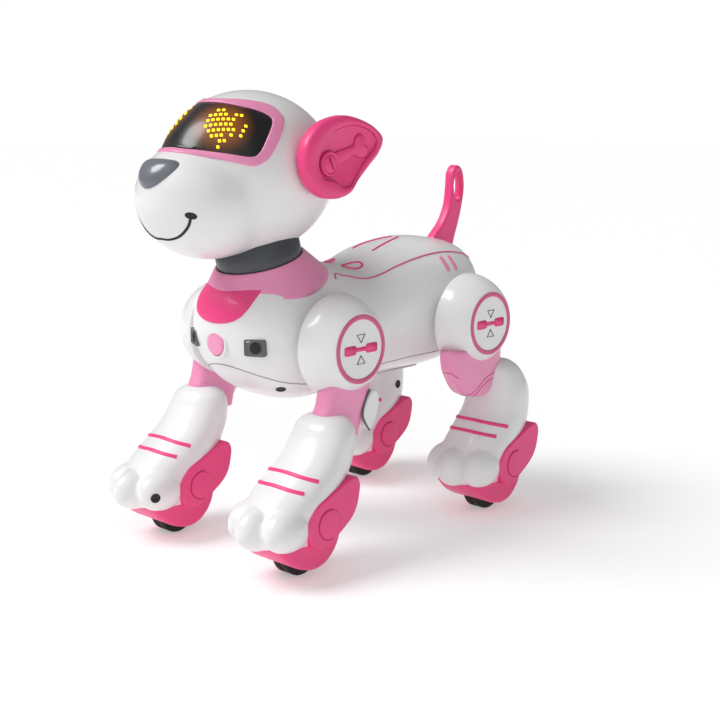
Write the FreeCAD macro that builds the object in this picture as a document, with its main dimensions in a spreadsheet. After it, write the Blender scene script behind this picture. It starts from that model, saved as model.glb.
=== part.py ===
"""Robot dog toy: a walking, rolling toy dog with a turning head, four motor-driven legs,
a chest button and a plastic shell body.  Millimetres, +Z up, the dog looks along -Y and
+X is its left side.  The origin is the bottom centre of its box, on the ground."""
import FreeCAD, Part
import math
import os
import re
import Sketcher

V = FreeCAD.Vector
Turn = FreeCAD.Rotation
X_AXIS, Y_AXIS, Z_AXIS = V(1, 0, 0), V(0, 1, 0), V(0, 0, 1)
LEFTWARD = Turn(Y_AXIS, 90)

# Driving dimensions.  Every alias becomes a cell of the sheet.
SIZES = {
    # walls and gaps
    "wall": 2.2, "gap": 0.4, "shaft_play": 0.05, "trim_proud": 0.8,
    # head
    "head_middle_y": -60.0, "head_middle_z": 217.0, "head_half_height": 46.0,
    "head_seam_y": -36.0,
    # visor and ears
    "visor_proud": 1.2, "visor_front_y": -52.0, "screen_recess": 0.6, "display_depth": 4.5,
    "ear_pivot_y": -41.0, "ear_pivot_z": 226.0, "ear_inner_x": 42.4, "ear_thickness": 8.4,
    "ear_dish": 2.6, "ear_pin_radius": 3.0, "ear_boss_radius": 8.0, "ear_pin_length": 12.0,
    # neck
    "neck_y": -46.6, "neck_z": 161.2, "neck_tilt": 15.2, "neck_radius": 25.0,
    "neck_wall": 4.0, "neck_low": 4.0, "neck_high": 24.0, "neck_web": 2.5,
    "collar_radius": 34.7, "collar_band": 4.6, "collar_height": 9.6, "collar_skirt": 13.0,
    "fairing_depth": 28.0, "fairing_radius": 43.0,
    # hubs (the round joint covers at the shoulders and hips)
    "hub_z": 123.7, "front_hub_y": -34.2, "rear_hub_y": 83.4, "hub_inner_x": 46.2,
    "hub_centre_x": 44.7, "hub_radius": 30.0, "hub_face_x": 66.8,
    "ring_outer_radius": 19.4, "ring_width": 1.7, "ring_proud": 0.6,
    "shoulder_radius": 26.0, "shoulder_x": 45.4, "shaft_radius": 3.0, "shaft_inner_x": 30.0,
    "boss_radius": 6.0, "thigh_half": 8.2,
    # legs and feet, measured from the wheel's contact point
    "leg_x": 54.4, "front_wheel_y": -74.7, "rear_wheel_y": 94.0, "leg_wall": 2.0,
    "sole_half": 20.8,
    "wheel_radius": 13.0, "wheel_width": 12.0, "wheel_side_gap": 0.6, "axle_radius": 1.5,
    "axle_length": 26.0, "cheek_x": 23.6, "cheek_thickness": 3.2,
    "toe_spread": 14.0, "toe_half_width": 10.0, "toe_half_length": 16.0, "toe_half_height": 13.6,
    "toe_y": -26.5, "toe_z": 31.5, "middle_toe_ahead": 4.2,
    # chest button and sensors
    "button_z": 125.0, "button_radius": 6.8, "button_face_y": -83.4, "button_depth": 6.0,
    "button_flange": 8.0, "bezel_width": 1.6, "button_travel": 1.5,
    "sensor_x": 26.0, "sensor_y": -73.0, "sensor_z": 125.0, "sensor_turn": 25.0,
    "sensor_width": 12.0, "sensor_height": 9.6, "sensor_depth": 8.0, "lens_radius": 3.2,
    # belly and inside
    "belly_z": 89.2, "door_length": 62.0, "door_width": 30.0, "door_y": 45.0,
    "door_thickness": 3.4, "cell_radius": 9.0, "cell_length": 50.0, "board_length": 80.0,
    "board_width": 46.0, "board_thickness": 1.6, "speaker_radius": 14.0, "speaker_depth": 6.0,
    "servo_length": 22.0, "servo_width": 8.0, "servo_height": 22.0,
    "screw_head_radius": 2.6, "screw_head_height": 1.8, "screw_radius": 1.3, "screw_length": 8.0,
    "switch_length": 7.0, "switch_width": 3.6, "switch_height": 4.0, "switch_y": 4.0,
    "switch_slot": 11.0, "switch_x": 12.0,
    # tail
    "tail_thickness": 7.0,
}

# Smooth outlines, each a few points: (y, z) for the tail, its slot, the ear and the foot's
# cheek and sole, and (x, z) for half of the visor's frame, its screen and the chest bib.
TAIL = [(125.6, 217.6), (119.6, 212), (117, 200), (114, 188), (106, 178), (97, 169), (105, 160),
        (119, 158), (125, 172), (132, 188), (134.4, 203), (132, 214)]
TAIL_SLOT = [(127, 213), (123.6, 205), (126.2, 195), (130.6, 196), (131.6, 205), (130, 212)]
EAR = [(-60.4, 226), (-58, 238), (-49, 247), (-38, 251), (-26, 252), (-10, 248), (1.5, 240),
       (1.5, 232), (-9, 224), (-18, 216), (-24, 209.5), (-34, 206.6), (-46, 208), (-56, 215)]
EAR_DISH = [(-55, 227), (-52, 238), (-40, 245), (-26, 247), (-11, 243), (-3, 237), (-12, 228),
            (-22, 219), (-28, 213), (-36, 211), (-47, 213)]
CHEEK = [(-4, 19.8), (-10, 25), (-11.9, 34), (-5.2, 43.4), (11.9, 51.2), (25, 55.4), (29, 51),
         (27.4, 40), (21.4, 31), (11, 24), (4, 20.4)]
SOLE = [(-33, 21), (-23, 13.4), (-9, 7.2), (1, 5.6), (10, 8.6), (17.5, 17), (21, 28), (8, 38),
        (-14, 38), (-28, 30)]
FRAME_HALF = [(0, 262), (14, 261), (24, 257.5), (31, 250), (36, 240), (38.2, 230), (35, 226),
              (25, 228.4), (12, 231), (0, 232)]
SCREEN_HALF = [(0, 258.8), (16, 257), (25.5, 253.4), (30.5, 247), (34.2, 236), (32.4, 231),
               (22, 232.6), (10, 234.4), (0, 235)]
BACK_EDGE = [(-14, 168), (-2, 163), (12, 160.5), (26, 161.5), (46, 164.5), (70, 166),
             (98, 165), (112, 172), (90, 200), (50, 205), (5, 195), (-14, 180)]
BELLY_EDGE = [(-96, 112), (-80, 108), (-62, 100), (-44, 97), (0, 96.5), (60, 96.5), (100, 100),
              (124, 110), (120, 80), (60, 60), (-40, 60), (-96, 80)]
BELLY_SCREWS = [(-56, 96.5), (-8, 93), (96, 101.5)]
BIB_HALF = [(0, 162), (15, 162), (20, 153), (17, 143), (9, 138.2), (0, 137.4)]

# Cross-sections of the head, the nose and the torso: (y, half width, low z, high z).
HEAD = [(-128.5, 6, 204, 215), (-126, 13, 197, 221.5), (-119, 23, 187, 230),
        (-112, 28, 181.5, 236), (-104, 31.5, 177, 244), (-94, 34.5, 174.5, 253.5),
        (-84, 37, 173.8, 260), (-72, 39.5, 173.8, 264), (-56, 41.2, 174, 266),
        (-40, 39.4, 176, 264), (-26, 34.5, 181.5, 258.5), (-14, 26.5, 190.5, 249.5),
        (-5.5, 16, 202, 238), (-1.5, 5, 214, 226)]
NOSE = [(-132, 5, 219, 225), (-130.6, 9.5, 216.5, 227.5), (-126.5, 13, 214.5, 230),
        (-120, 13.6, 214, 230.6), (-113, 13, 215, 230)]
TORSO = [(-83.2, 12, 128, 142), (-80, 22, 117, 151), (-72, 33, 104, 159), (-58, 42, 90, 166),
         (-36, 45.2, 84.5, 169), (-12, 44.5, 86.5, 167), (16, 40, 89, 162), (45, 40, 90, 171),
         (75, 43, 90.5, 174.5), (98, 41, 94, 172), (112, 34, 103, 168), (122, 23, 116, 160),
         (127.5, 11.5, 128, 149)]

# Cross-sections of a calf and paw: (z, front y, back y, half width) from the wheel's contact.
FRONT_CALF = [(20, -26, 13, 17), (27, -34, 19, 21), (36, -33, 23, 22), (46, -27, 28, 22),
              (56, -14, 33, 21.5), (66, -1, 37, 20.5), (76, 7, 38, 19.5), (83, 11, 37, 17),
              (87.5, 16, 32, 11)]
REAR_CALF = [(20, -26, 11, 17), (27, -34, 17, 21), (36, -33, 22, 22), (46, -27, 27, 22),
             (56, -17, 32, 21.5), (66, -8, 33.5, 20.5), (78, -4, 33, 19.5), (90, -2, 27, 15.5),
             (96, 2, 20, 9)]

# Cross-sections of a thigh: (z, front y, back y, half width) from the hub's axis.
FRONT_THIGH = [(74, -14, 8, 6.6), (84, -22, 11, 7.6), (94, -21, 16, 8.2), (108, -17, 17, 8.2)]
REAR_THIGH = [(76, -12, 10, 6.6), (82, -19, 14, 7.6), (92, -25, 19, 8.2), (106, -26, 21, 8.2)]

# How square each kind of cross-section is: 2 is an ellipse.
HEAD_SQUARENESS, TORSO_SQUARENESS, LEG_SQUARENESS = 2.0, 2.3, 2.2
RING_POINTS = 16

doc = FreeCAD.newDocument("robot_dog")
sheet = doc.addObject("Spreadsheet::Sheet", "Sizes")
parts = []


# ---------------------------------------------------------------- sheet and small helpers
def fill_sheet():
    """Writes every driving dimension and every cross-section into the sheet."""
    for name, rows, columns in SECTION_TABLES:
        for index, row in enumerate(rows):
            for column, number in zip(columns, row):
                SIZES["%s_%s_%s" % (name, column, letters(index))] = number
    for row, (alias, number) in enumerate(SIZES.items(), start=1):
        sheet.set("A%d" % row, alias)
        sheet.set("B%d" % row, str(number))
        sheet.setAlias("B%d" % row, alias)
    doc.recompute()


def letters(index):
    """A word ending for a numbered section, so an alias never looks like a cell."""
    return "abcdefghijklmnop"[index]


def linked(text):
    """An expression in which every alias names its cell."""
    return re.sub(r"[a-z][a-z_]+", lambda hit: cell(hit.group(0)), str(text))


def cell(word):
    return "Sizes." + word if word in SIZES else word


def bind(obj, **expressions):
    for name, text in expressions.items():
        obj.setExpression(name.replace("__", "."), linked(text))
    return obj


def place(obj, x=0, y=0, z=0, turn=None):
    if turn is not None:
        obj.Placement = FreeCAD.Placement(V(0, 0, 0), turn)
    return bind(obj, Placement__Base__x=x, Placement__Base__y=y, Placement__Base__z=z)


def fresh(name):
    """The next unused object name for a helper solid."""
    return name if doc.getObject(name) is None else "%s_%d" % (name, len(doc.Objects))


def part(name, obj):
    """Names a finished sub-part: its Label is its file's name."""
    obj.Label = name
    parts.append(obj)
    return obj


# ---------------------------------------------------------------- solids
def ellipsoid(across, along, up, x=0, y=0, z=0, half=0):
    """An ellipsoid with its poles at the sides; half is -1 or 1 for the right or left half."""
    ball = doc.addObject("Part::Ellipsoid", fresh("ellipsoid"))
    ball.Angle1 = 0 if half > 0 else -90
    ball.Angle2 = 0 if half < 0 else 90
    ball.Angle3 = 360
    bind(ball, Radius1=across, Radius2=up, Radius3=along)
    return place(ball, x, y, z, LEFTWARD)


def cylinder(radius, height, x=0, y=0, z=0, turn=None):
    rod = doc.addObject("Part::Cylinder", fresh("cylinder"))
    bind(rod, Radius=radius, Height=height)
    return place(rod, x, y, z, turn)


def cone(low_radius, high_radius, height, x=0, y=0, z=0, turn=None):
    horn = doc.addObject("Part::Cone", fresh("cone"))
    bind(horn, Radius1=low_radius, Radius2=high_radius, Height=height)
    return place(horn, x, y, z, turn)


def box(length, width, height, x=0, y=0, z=0, turn=None):
    """A box whose given place is its lowest corner before it turns."""
    block = doc.addObject("Part::Box", fresh("box"))
    bind(block, Length=length, Width=width, Height=height)
    return place(block, x, y, z, turn)


def fuse(first, *others):
    for solid in others:
        joined = doc.addObject("Part::Fuse", fresh("fuse"))
        joined.Base = first
        joined.Tool = solid
        joined.Refine = False
        first = joined
    return first


def common(*solids):
    shared = doc.addObject("Part::MultiCommon", fresh("common"))
    shared.Shapes = list(solids)
    shared.Refine = False
    return shared


def cut(base, *tools):
    for tool in tools:
        remainder = doc.addObject("Part::Cut", fresh("cut"))
        remainder.Base = base
        remainder.Tool = tool
        remainder.Refine = False
        base = remainder
    return base


def group(*solids):
    """Separate solids that share one node."""
    bundle = doc.addObject("Part::Compound", fresh("compound"))
    bundle.Links = list(solids)
    return bundle


def size(alias):
    return float(sheet.get(alias))


def sections(name, rows, columns=("y", "half", "low", "high")):
    """A shape's cross-sections, read back from the sheet."""
    return [[size("%s_%s_%s" % (name, column, letters(index))) for column in columns]
            for index in range(len(rows))]


def oval_spots(centre, across, up, squareness, count):
    """Points round an oval between an ellipse and a rounded rectangle, from -up towards +across."""
    spots = []
    for step in range(count):
        angle = 2 * math.pi * step / RING_POINTS
        reach = [math.copysign(abs(part_of) ** (2 / squareness), part_of)
                 for part_of in (math.sin(angle), -math.cos(angle))]
        spots.append(centre + across * reach[0] + up * reach[1])
    return spots


def oval(centre, across, up, squareness):
    """A closed smooth wire round a centre."""
    spline = Part.BSplineCurve()
    spline.interpolate(oval_spots(centre, across, up, squareness, RING_POINTS), PeriodicFlag=True)
    return Part.Wire([spline.toShape()])


def half_oval(centre, across, up, squareness):
    """The half of an oval on the side that across points to, as an open smooth edge."""
    spots = oval_spots(centre, across, up, squareness, RING_POINTS // 2 + 1)
    spline = Part.BSplineCurve()
    spline.interpolate(spots, InitialTangent=across, FinalTangent=-across)
    return spline.toShape()


def lofted(wires):
    """A closed solid through cross-sections whose squareness no primitive has."""
    solid = doc.addObject("Part::Feature", fresh("loft"))
    solid.Shape = Part.makeLoft(wires, True, False)
    solid.Placement = FreeCAD.Placement()
    return solid


# ---------------------------------------------------------------- sketches
def origin_plane(body, role):
    return next(item for item in body.Origin.OriginFeatures if item.Role == role)


def sketch_on(body, role, offset=None):
    sketch = body.newObject("Sketcher::SketchObject", fresh("sketch"))
    sketch.AttachmentSupport = (origin_plane(body, role), [""])
    sketch.MapMode = "FlatFace"
    if offset is not None:
        sketch.setExpression(".AttachmentOffset.Base.z", linked(offset))
    return sketch


def hold(sketch, edge, end, across, up):
    """Ties one end of an edge to two dimensions, or to an axis where one is zero."""
    for text, kind, axis in ((across, "DistanceX", -2), (up, "DistanceY", -1)):
        if str(text) == "0":
            sketch.addConstraint(Sketcher.Constraint("PointOnObject", edge, end, axis))
            continue
        at = sketch.getPoint(edge, end)
        here = at.x if kind == "DistanceX" else at.y
        index = sketch.addConstraint(Sketcher.Constraint(kind, -1, 1, edge, end, here))
        sketch.setExpression("Constraints[%d]" % index, linked(text))


def polygon(sketch, corners):
    """A closed outline of straight edges; each corner is a pair of expressions."""
    spots = [V(number(across), number(up), 0) for across, up in corners]
    for index, spot in enumerate(spots):
        sketch.addGeometry(Part.LineSegment(spot, spots[(index + 1) % len(spots)]))
    last = len(spots) - 1
    for index in range(len(spots)):
        sketch.addConstraint(
            Sketcher.Constraint("Coincident", index, 2, 0 if index == last else index + 1, 1))
    for index, (across, up) in enumerate(corners):
        hold(sketch, index, 1, across, up)


def number(text):
    """The value of an expression, worked out by a spare cell of the sheet."""
    sheet.set("D1", "=" + re.sub(r"Sizes\.", "", linked(text)))
    sheet.recompute()
    return float(sheet.get("D1"))


def revolved(corners, turn=None, x=0, y=0, z=0):
    """A body turned about its own Z from an outline of (radius, height) corners."""
    body = doc.addObject("PartDesign::Body", fresh("body"))
    sketch = sketch_on(body, "XZ_Plane")
    polygon(sketch, corners)
    solid = body.newObject("PartDesign::Revolution", fresh("revolution"))
    solid.Profile = sketch
    solid.ReferenceAxis = (sketch, ["V_Axis"])
    solid.Angle = 360
    return place(body, x, y, z, turn)


def curve(sketch, spots):
    """A smooth closed outline through a few points."""
    spline = Part.BSplineCurve()
    spline.interpolate([V(across, up, 0) for across, up in spots], PeriodicFlag=True)
    sketch.addGeometry(spline)


def slab(role, spots, low, thickness, x=0, y=0, z=0, outline=curve):
    """A body padded from an outline, smooth or straight-sided, on one of its own planes."""
    body = doc.addObject("PartDesign::Body", fresh("body"))
    sketch = sketch_on(body, role, low)
    outline(sketch, spots)
    solid = body.newObject("PartDesign::Pad", fresh("pad"))
    solid.Profile = sketch
    bind(solid, Length=thickness)
    return place(body, x, y, z)


def both_sides(half):
    """A closed outline from its right half, mirrored in the middle plane."""
    return half + [(-across, up) for across, up in reversed(half) if across > 0]


def neck_spot(height):
    """A point on the neck's forward-leaning axis, as two expressions for y and z."""
    return ("neck_y - (%s) * sin(neck_tilt * 1deg)" % height,
            "neck_z + (%s) * cos(neck_tilt * 1deg)" % height)


def on_neck(height):
    y, z = neck_spot(height)
    return dict(y=y, z=z, turn=Turn(X_AXIS, SIZES["neck_tilt"]))


# ---------------------------------------------------------------- head
def head_solid(grow):
    """The head's outer form, scaled about its middle so that its top moves up by grow."""
    scale = 1 + number(grow) / size("head_half_height")
    middle = V(0, size("head_middle_y"), size("head_middle_z"))
    wires = []
    for y, half, low, high in sections("head", HEAD):
        centre = middle + (V(0, y, (low + high) / 2) - middle) * scale
        wires.append(oval(centre, X_AXIS * half * scale, Z_AXIS * (high - low) / 2 * scale,
                          HEAD_SQUARENESS))
    return lofted(wires)


def nose_solid():
    return lofted([oval(V(0, y, (low + high) / 2), X_AXIS * half, Z_AXIS * (high - low) / 2,
                        HEAD_SQUARENESS) for y, half, low, high in sections("nose", NOSE)])


def visor_prism(half):
    """A visor outline carried forward from inside the head."""
    return slab("XZ_Plane", both_sides(half), "-visor_front_y", 90, outline=polygon)


def make_head():
    outer = head_solid(0)
    cavity = head_solid("-wall")
    frame_prism, screen_prism = visor_prism(FRAME_HALF), visor_prism(SCREEN_HALF)
    neck_hole = cylinder("neck_radius - neck_wall", 30, **on_neck("neck_low"))
    ear_holes = cylinder("ear_pin_radius + shaft_play", 120, "-60", "ear_pivot_y", "ear_pivot_z",
                         LEFTWARD)
    rear_space = box(120, 60, 120, -60, "head_seam_y", 160)
    screws = group(*[screw(side * 22, -30, height, Turn(X_AXIS, 90))
                     for side in (-1, 1) for height in (200, 240)])
    shell = cut(outer, cavity, neck_hole, ear_holes)
    part("head_front_shell", cut(shell, rear_space, frame_prism))
    part("head_rear_cover", common(shell, rear_space))
    part("nose", cut(nose_solid(), outer))
    visor = {"visor_frame": ("visor_proud", "-wall", cut(frame_prism, screen_prism)),
             "visor_screen": ("visor_proud - screen_recess", "-wall + 0.4", screen_prism),
             "eye_display": ("-display_depth", "-display_depth - 1.6", screen_prism)}
    for name, (near, far, prism) in visor.items():
        part(name, common(cut(head_solid(near), head_solid(far)), prism))
    part("neck_ring", make_neck_ring(outer))
    part("head_screws", screws)


def make_neck_ring(head):
    """The grey ring under the head: a tube with a web that turns on the neck motor's shaft."""
    tube = revolved([("neck_radius - neck_wall", "neck_low"), ("neck_radius", "neck_low"),
                     ("neck_radius", "neck_high"), ("neck_radius - neck_wall", "neck_high")],
                    **on_neck(0))
    web = revolved([("shaft_radius + shaft_play", "neck_low"), ("neck_radius - 1", "neck_low"),
                    ("neck_radius - 1", "neck_low + neck_web"),
                    ("shaft_radius + shaft_play", "neck_low + neck_web")], **on_neck(0))
    return cut(fuse(tube, web), head)


def make_ears():
    for name, side in (("ear_left", 1), ("ear_right", -1)):
        low = "ear_inner_x" if side > 0 else "-ear_inner_x - ear_thickness"
        face = "ear_inner_x + ear_thickness - ear_dish"
        plate = slab("YZ_Plane", EAR, low, "ear_thickness")
        dish_low = face if side > 0 else "-(%s) - ear_dish" % face
        dish = slab("YZ_Plane", EAR_DISH, dish_low, "ear_dish")
        boss_low = face if side > 0 else "-(%s) - ear_dish * 0.7" % face
        boss = cylinder("ear_boss_radius", "ear_dish * 0.7", boss_low, "ear_pivot_y",
                        "ear_pivot_z", LEFTWARD)
        pin_low = "ear_inner_x + 4 - ear_pin_length" if side > 0 else "-ear_inner_x - 4"
        pin = cylinder("ear_pin_radius", "ear_pin_length", pin_low, "ear_pivot_y", "ear_pivot_z",
                       LEFTWARD)
        part(name, fuse(cut(plate, dish), boss, pin))


def screw(x, y, z, turn=None):
    """A self-tapping screw with its head at the given place and its shank along its own +Z."""
    return revolved([("0", "0"), ("screw_head_radius", "0"),
                     ("screw_head_radius", "screw_head_height"),
                     ("screw_radius", "screw_head_height"), ("screw_radius", "screw_length"),
                     ("0", "screw_length")], turn, x, y, z)


# ---------------------------------------------------------------- torso
def torso_wires(grow):
    wires = []
    for index, (y, half, low, high) in enumerate(sections("torso", TORSO)):
        end = {0: -1, len(TORSO) - 1: 1}.get(index, 0)
        wires.append(oval(V(0, y + grow * end, (low + high) / 2), X_AXIS * (half + grow),
                          Z_AXIS * ((high - low) / 2 + grow), TORSO_SQUARENESS))
    return wires


def torso_solid(grow):
    """The body's outer form, larger or smaller by the given amount."""
    fairing = cone("fairing_radius + (%s)" % grow, "collar_radius + (%s)" % grow,
                   "fairing_depth", **on_neck("-fairing_depth"))
    return fuse(lofted(torso_wires(number(grow))), fairing)


def shoulders():
    """The round pads that the four hubs turn against."""
    return [cylinder("shoulder_radius", "shoulder_x * 2", "-shoulder_x", hub_y, "hub_z",
                     LEFTWARD) for hub_y in ("front_hub_y", "rear_hub_y")]


def make_torso():
    outer, cavity = fuse(torso_solid(0), *shoulders()), torso_solid("-wall")
    skin = cut(outer, cavity)
    proud_skin = cut(torso_solid("trim_proud"), cavity)
    bib = slab("XZ_Plane", both_sides(BIB_HALF), 50, 60)
    back_space = slab("YZ_Plane", BACK_EDGE, -60, 120)
    belly_space = slab("YZ_Plane", BELLY_EDGE, -60, 120)
    collar = cut(make_collar(), outer)
    shafts = [cylinder("shaft_radius + gap", 120, -60, hub_y, "hub_z", LEFTWARD)
              for hub_y in ("front_hub_y", "rear_hub_y")]
    neck_hole = cylinder("shaft_radius + 3", 40, **on_neck(-20))
    neck_well = cylinder("neck_radius + gap", 30, **on_neck("neck_low - gap"))
    tail_foot = make_tail()
    door_space = box("door_width", "door_length", 20, "-door_width / 2",
                     "door_y - door_length / 2", "belly_z - 4")
    door = box("door_width", "door_length", "door_thickness", "-door_width / 2",
               "door_y - door_length / 2", "belly_z")
    bezel_hole = cylinder("button_radius + gap + bezel_width", 14, 0, -74, "button_z",
                          Turn(X_AXIS, 90))
    sensors = [sensor(side) for side in (1, -1)]
    slot = box("switch_width + gap * 2", "switch_slot", 12, "switch_x - switch_width / 2 - gap",
               "switch_y - switch_slot / 2", 84)
    spots = [(side * 25, y, z) for side in (-1, 1) for y, z in BELLY_SCREWS]
    screws = [screw(*spot) for spot in spots]
    screw_wells = [cylinder("screw_head_radius", 8, x, y, z - 8) for x, y, z in spots]
    shell = cut(skin, bib, back_space, belly_space, bezel_hole, *shafts, *sensors, neck_hole,
                neck_well, tail_foot, *screws, *screw_wells)
    part("torso_shell", shell)
    part("back_cover", cut(common(skin, back_space), tail_foot, neck_hole))
    part("belly_shell", cut(common(skin, belly_space), door_space, slot, *screws, *screw_wells,
                            *shafts))
    part("battery_door", door)
    part("chest_plate", cut(common(proud_skin, bib), collar, bezel_hole, neck_well))
    part("neck_collar", collar)
    part("body_screws", group(*screws))
    part("ir_sensors", group(*sensors))
    part("button_bezel", ring_along_y("button_radius + gap", "button_radius + gap + bezel_width",
                                      "button_face_y - 0.2", 5))


def ring_along_y(inner, outer, front_y, length):
    """A ring about the chest button's axis."""
    return revolved([(inner, "0"), (outer, "0"), (outer, length), (inner, length)],
                    Turn(X_AXIS, -90), 0, front_y, "button_z")


def sensor(side):
    """An obstacle sensor: a block with a round lens, turned with the chest's surface."""
    turn = Turn(Z_AXIS, side * SIZES["sensor_turn"])
    face = V(side * SIZES["sensor_x"], SIZES["sensor_y"] - 2.6, SIZES["sensor_z"])
    corner = face + turn.multVec(V(-SIZES["sensor_width"] / 2, 0, -SIZES["sensor_height"] / 2))
    block = box("sensor_width", "sensor_depth", "sensor_height", corner.x, corner.y, corner.z,
                turn)
    front = face + turn.multVec(V(0, -0.6, 0))
    lens = cylinder("lens_radius", 3, front.x, front.y, front.z, turn * Turn(X_AXIS, -90))
    return fuse(block, lens)


def make_collar():
    """The pink collar round the neck, carried down so that it can be trimmed to the body."""
    bore = "neck_radius + gap"
    return revolved([(bore, "-collar_skirt"), ("collar_radius + 1", "-collar_skirt"),
                     ("collar_radius", "0"), ("collar_radius - 0.6", "collar_band"),
                     ("neck_radius + 1.6", "collar_height"), (bore, "collar_height")],
                    **on_neck(0))


def make_tail():
    """The tail: a flat curved blade with a finger slot, its foot plugged into the back."""
    blade = slab("YZ_Plane", TAIL, "-tail_thickness / 2", "tail_thickness")
    slot = slab("YZ_Plane", TAIL_SLOT, -20, 40)
    return part("tail", cut(blade, slot))


def make_inside():
    part("main_board", box("board_width", "board_length", "board_thickness", "-board_width / 2",
                           -22, 132))
    cells = [cylinder("cell_radius", "cell_length", side * 9.6, "door_y - cell_length / 2", 109,
                      Turn(X_AXIS, -90)) for side in (-1, 1)]
    part("battery_pack", group(*cells))
    part("speaker", cylinder("speaker_radius", "speaker_depth", 0, -36, 96))
    servos = [servo(side, hub_y) for hub_y in ("front_hub_y", "rear_hub_y") for side in (1, -1)]
    part("leg_servos", group(*servos))
    case = box("servo_length", "servo_width", "servo_height", "-servo_length / 2", "neck_y", 124)
    shaft = cylinder("shaft_radius", "neck_low + neck_web + 20", **on_neck("-18"))
    part("neck_servo", fuse(case, shaft))


def servo(side, hub_y):
    """A leg motor with a bore that the leg's drive shaft turns in."""
    low_x = "shaft_inner_x - 2" if side > 0 else "-shaft_inner_x + 2 - servo_width"
    case = box("servo_width", "servo_length", "servo_height", low_x, hub_y + " - servo_length / 2",
               "hub_z - servo_height / 2")
    bore = cylinder("shaft_radius + shaft_play", 120, -60, hub_y, "hub_z", LEFTWARD)
    return cut(case, bore)


def make_controls():
    """The chest button, which presses in, and the sliding power switch under the belly."""
    cap = revolved([("0", "0"), ("button_radius", "0"), ("button_radius", "button_depth"),
                    ("button_flange", "button_depth"), ("button_flange", "button_depth + 1.2"),
                    ("0", "button_depth + 1.2")],
                   Turn(X_AXIS, -90), 0, "button_face_y - 0.8", "button_z")
    part("chest_button", cap)
    part("power_switch", box("switch_width", "switch_length", "switch_height",
                             "switch_x - switch_width / 2", "switch_y - switch_length / 2", 88.2))


# ---------------------------------------------------------------- legs
def limb(table, rows, centre, side=0, shrink=0):
    """A limb lofted about a vertical line: whole, or only the half on one side of it."""
    wires = []
    for index, (z, front, back, half) in enumerate(sections(table, rows, LIMB_COLUMNS)):
        lift = shrink * {0: 1, len(rows) - 1: -1}.get(index, 0)
        middle = centre + V(-side * shrink, (front + back) / 2, z + lift)
        reach = half - shrink + shrink * abs(side)
        along = Y_AXIS * ((back - front) / 2 - shrink)
        edges = [half_oval(middle, X_AXIS * reach * way, along, LEG_SQUARENESS)
                 for way in ([side] if side else [1, -1])]
        if side:
            edges.append(Part.makeLine(middle + along, middle - along))
        wires.append(Part.Wire(edges))
    return lofted(wires)


def toe_form(side, wheel_y, across, half=0):
    ahead = 0 if across else 1
    return ellipsoid("toe_half_width", "toe_half_length", "toe_half_height",
                     "%d * leg_x + %d * toe_spread" % (side, across),
                     "%s + toe_y - %d * middle_toe_ahead" % (wheel_y, ahead), "toe_z", half=half)


def hub_form(side, hub_y, shrink):
    """A hub cover's outer form: the band of a ball between its inner side and its flat face."""
    ball = doc.addObject("Part::Sphere", fresh("sphere"))
    bind(ball, Radius="hub_radius - (%s)" % shrink,
         Angle1="asin((hub_inner_x - (%s) / 2 - hub_centre_x) / (hub_radius - (%s)))"
                % (shrink, shrink),
         Angle2="asin((hub_face_x - (%s) - hub_centre_x) / (hub_radius - (%s)))"
                % (shrink, shrink))
    return place(ball, "%d * hub_centre_x" % side, hub_y, "hub_z", Turn(Y_AXIS, 90 * side))


def outward(side, hub_y, radius, near, far):
    """A cylinder on a hub's axis between two distances from the middle plane."""
    return cylinder(radius, "%s - (%s)" % (far, near), "%d * (%s)" % (side, near), hub_y,
                    "hub_z", Turn(Y_AXIS, 90 * side))


def make_leg(pair, flank, side):
    """One leg: hub cover and ring, thigh, calf and paw in two halves, sole, wheel and axle."""
    hub_y, wheel_y = pair + "_hub_y", pair + "_wheel_y"
    name = "%s_%s_" % (pair, flank)
    foot = V(side * size("leg_x"), size(wheel_y), 0)
    hip = V(side * (size("hub_inner_x") + size("gap") + size("thigh_half")), size(hub_y), 0)
    calf_rows, thigh_rows = LEG_TABLES[pair]
    calf = limb(pair + "_calf", calf_rows, foot)
    hub = hub_form(side, hub_y, 0)
    ring = hub_ring(side, hub_y)
    boss = outward(side, hub_y, "boss_radius", "hub_inner_x + 1", "hub_face_x - 1")
    shaft = outward(side, hub_y, "shaft_radius", "shaft_inner_x", "hub_face_x - 4")
    well = across_leg("wheel_radius + 0.8", "wheel_width + wheel_side_gap * 2", side, wheel_y)
    part(name + "hub_cover", cut(fuse(cut(hub, hub_form(side, hub_y, "wall")), boss, shaft), ring))
    part(name + "hub_ring", ring)
    part(name + "thigh", cut(limb(pair + "_thigh", thigh_rows, hip), calf, hub))
    for half, way in (("calf_outer", side), ("calf_inner", -side)):
        paw = fuse(limb(pair + "_calf", calf_rows, foot, way), toe_form(side, wheel_y, way),
                   toe_form(side, wheel_y, 0, way))
        hollow = limb(pair + "_calf", calf_rows, foot, way, size("leg_wall"))
        part(name + half, cut(paw, hollow, well))
    toe_solids = [toe_form(side, wheel_y, across) for across in (-1, 0, 1)]
    part(name + "sole", cut(sole(side, wheel_y, calf, toe_solids), well,
                            across_leg("axle_radius", "axle_length", side, wheel_y)))
    part(name + "wheel", cut(across_leg("wheel_radius", "wheel_width", side, wheel_y),
                             across_leg("axle_radius + shaft_play", 40, side, wheel_y)))
    part(name + "axle", across_leg("axle_radius", "axle_length", side, wheel_y))


def hub_ring(side, hub_y):
    """The ring let into the hub's face."""
    low_x = "%d * (hub_face_x - ring_proud)" % side
    return revolved([("ring_outer_radius - ring_width", "0"), ("ring_outer_radius", "0"),
                     ("ring_outer_radius", "ring_proud * 2"),
                     ("ring_outer_radius - ring_width", "ring_proud * 2")],
                    Turn(Y_AXIS, 90 * side), low_x, hub_y, "hub_z")


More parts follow.
